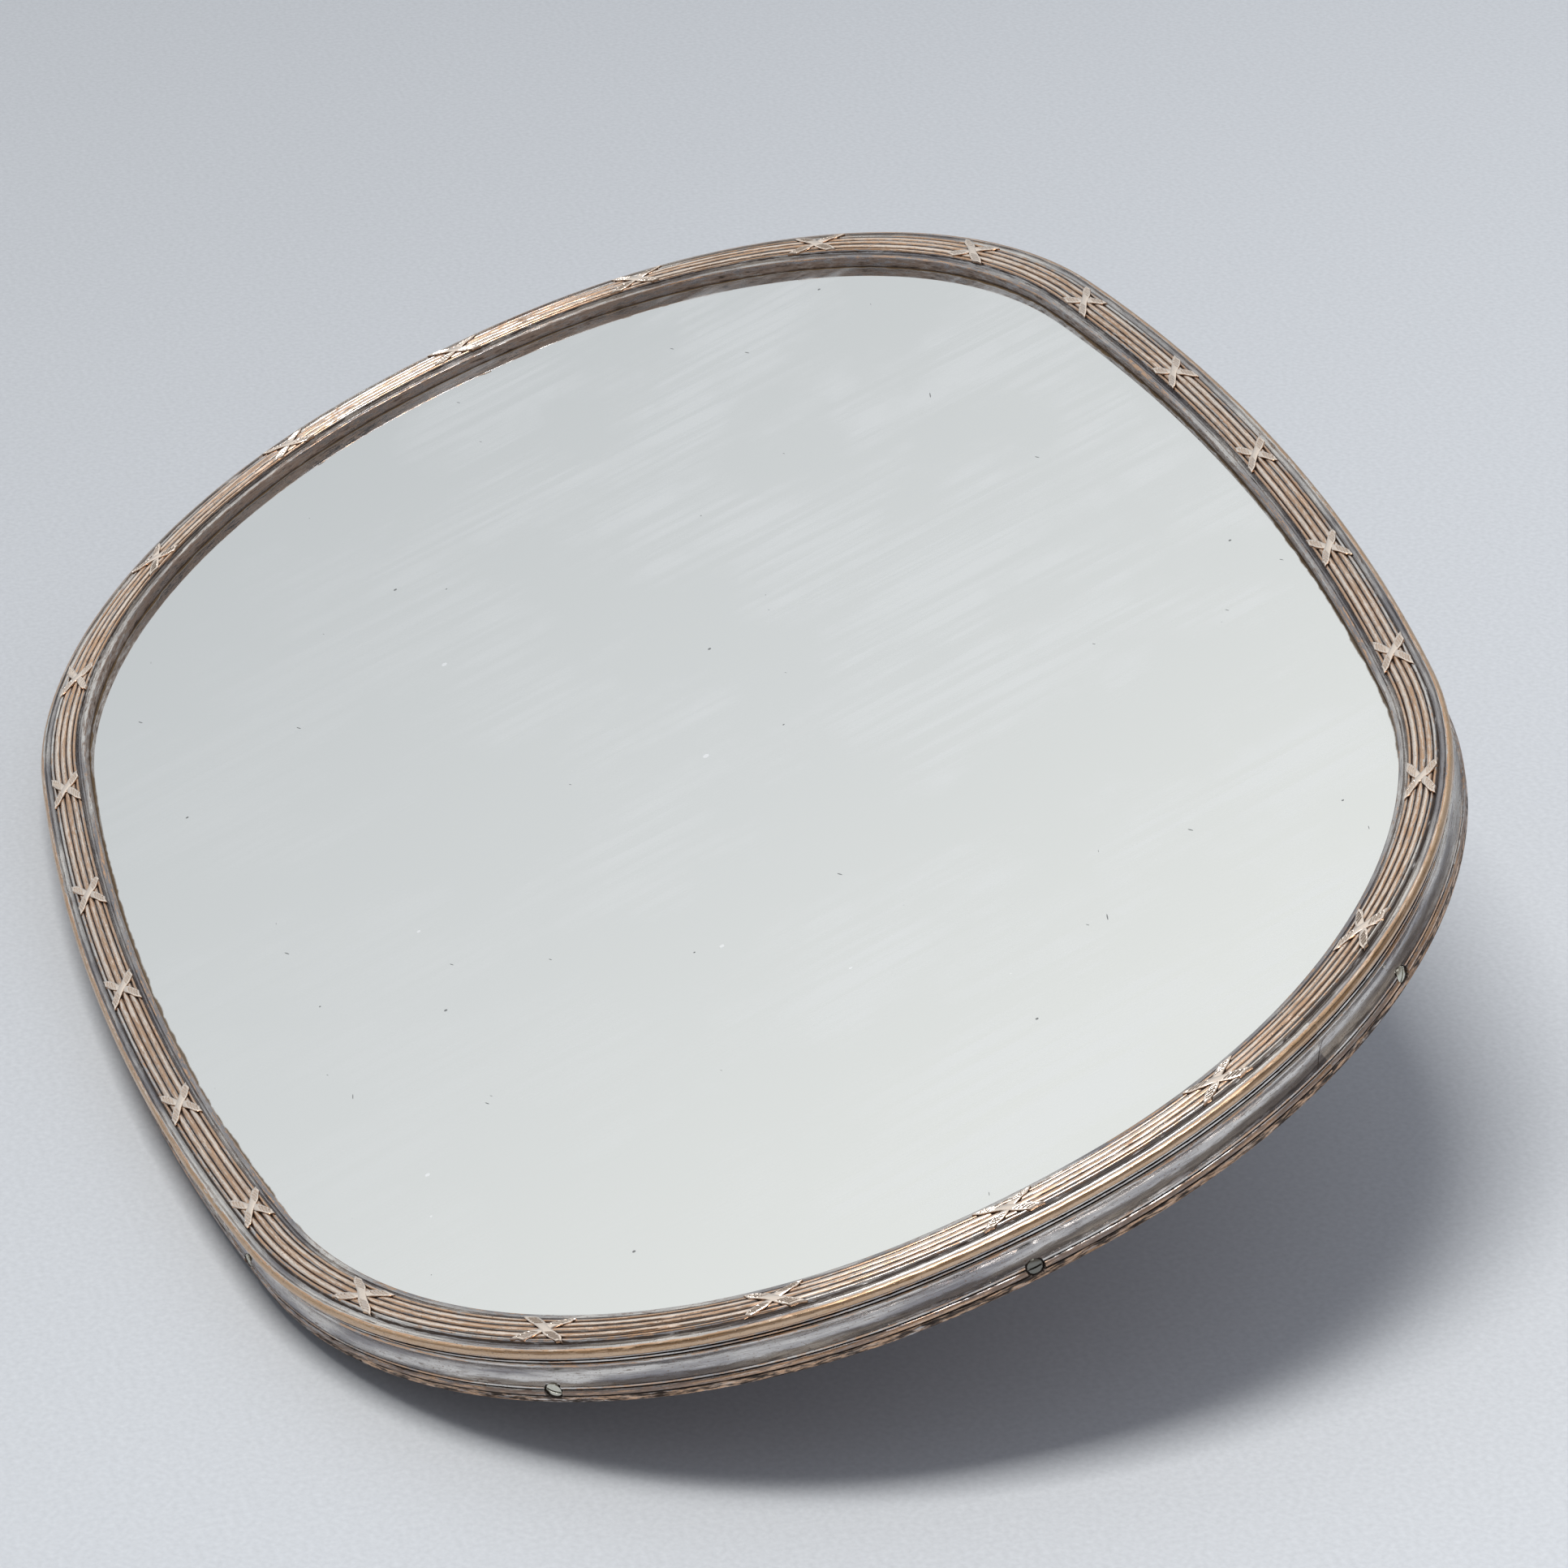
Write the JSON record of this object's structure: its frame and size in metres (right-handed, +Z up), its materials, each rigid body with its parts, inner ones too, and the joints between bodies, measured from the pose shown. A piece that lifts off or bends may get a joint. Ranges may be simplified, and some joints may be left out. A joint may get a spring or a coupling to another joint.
{
  "type": "countertop mirror",
  "caption": "Leaning table mirror in a cushion-shaped metal frame of reeds tied with crossed ribbons, propped on a folding easel strut.",
  "frame": {"origin": "centre of the footprint of the standing mirror, on the surface that it stands on", "axes": "+X along the mirror's long way, +Y towards the raised long side, +Z up"},
  "size_m": [0.5142, 0.3216, 0.1316],
  "materials": {
    "plated_moulding": "worn silver plate over brass, tarnished in the grooves",
    "ribbon_ties": "worn silver plate, warm at the crests",
    "bare_brass": "dull",
    "brass_screws": "satin",
    "steel_screws": "satin",
    "silvered_glass": "polished, slightly clouded",
    "packing_paper": "matt",
    "packer_wood": "raw",
    "board_wood": "waxed",
    "baize": "matt",
    "pad_leather": "worn"
  },
  "bodies": {
    "mirror": {"frame_raised_half": "plated_moulding", "frame_resting_half": "plated_moulding", "joint_key_near": "bare_brass", "joint_key_far": "bare_brass", "ribbon_tie_01": "ribbon_ties", "ribbon_tie_02": "ribbon_ties", "ribbon_tie_03": "ribbon_ties", "ribbon_tie_04": "ribbon_ties", "ribbon_tie_05": "ribbon_ties", "ribbon_tie_06": "ribbon_ties", "ribbon_tie_07": "ribbon_ties", "ribbon_tie_08": "ribbon_ties", "ribbon_tie_09": "ribbon_ties", "ribbon_tie_10": "ribbon_ties", "ribbon_tie_11": "ribbon_ties", "ribbon_tie_12": "ribbon_ties", "ribbon_tie_13": "ribbon_ties", "ribbon_tie_14": "ribbon_ties", "ribbon_tie_15": "ribbon_ties", "ribbon_tie_16": "ribbon_ties", "ribbon_tie_17": "ribbon_ties", "ribbon_tie_18": "ribbon_ties", "ribbon_tie_19": "ribbon_ties", "ribbon_tie_20": "ribbon_ties", "ribbon_tie_21": "ribbon_ties", "ribbon_tie_22": "ribbon_ties", "ribbon_tie_23": "ribbon_ties", "ribbon_tie_24": "ribbon_ties", "side_screws": "steel_screws", "mirror_glass": "silvered_glass", "glass_packing": "packing_paper", "edge_packers": "packer_wood", "back_board": "board_wood", "back_cloth": "baize", "hinge_board_leaf": "bare_brass", "hinge_pin": "steel_screws", "board_leaf_screws": "brass_screws"},
    "strut": {"strut": "board_wood", "strut_cloth": "baize", "strut_foot_pad": "pad_leather", "hinge_strut_leaf": "bare_brass", "strut_leaf_screws": "brass_screws"}
  },
  "joints": [
    {"name": "strut_fold", "type": "hinge", "parent": "mirror", "child": "strut", "pos_m": [0, 0.08337, 0.08554], "axis": [-1, 0, 0], "range_deg": [0, 80]}
  ]
}
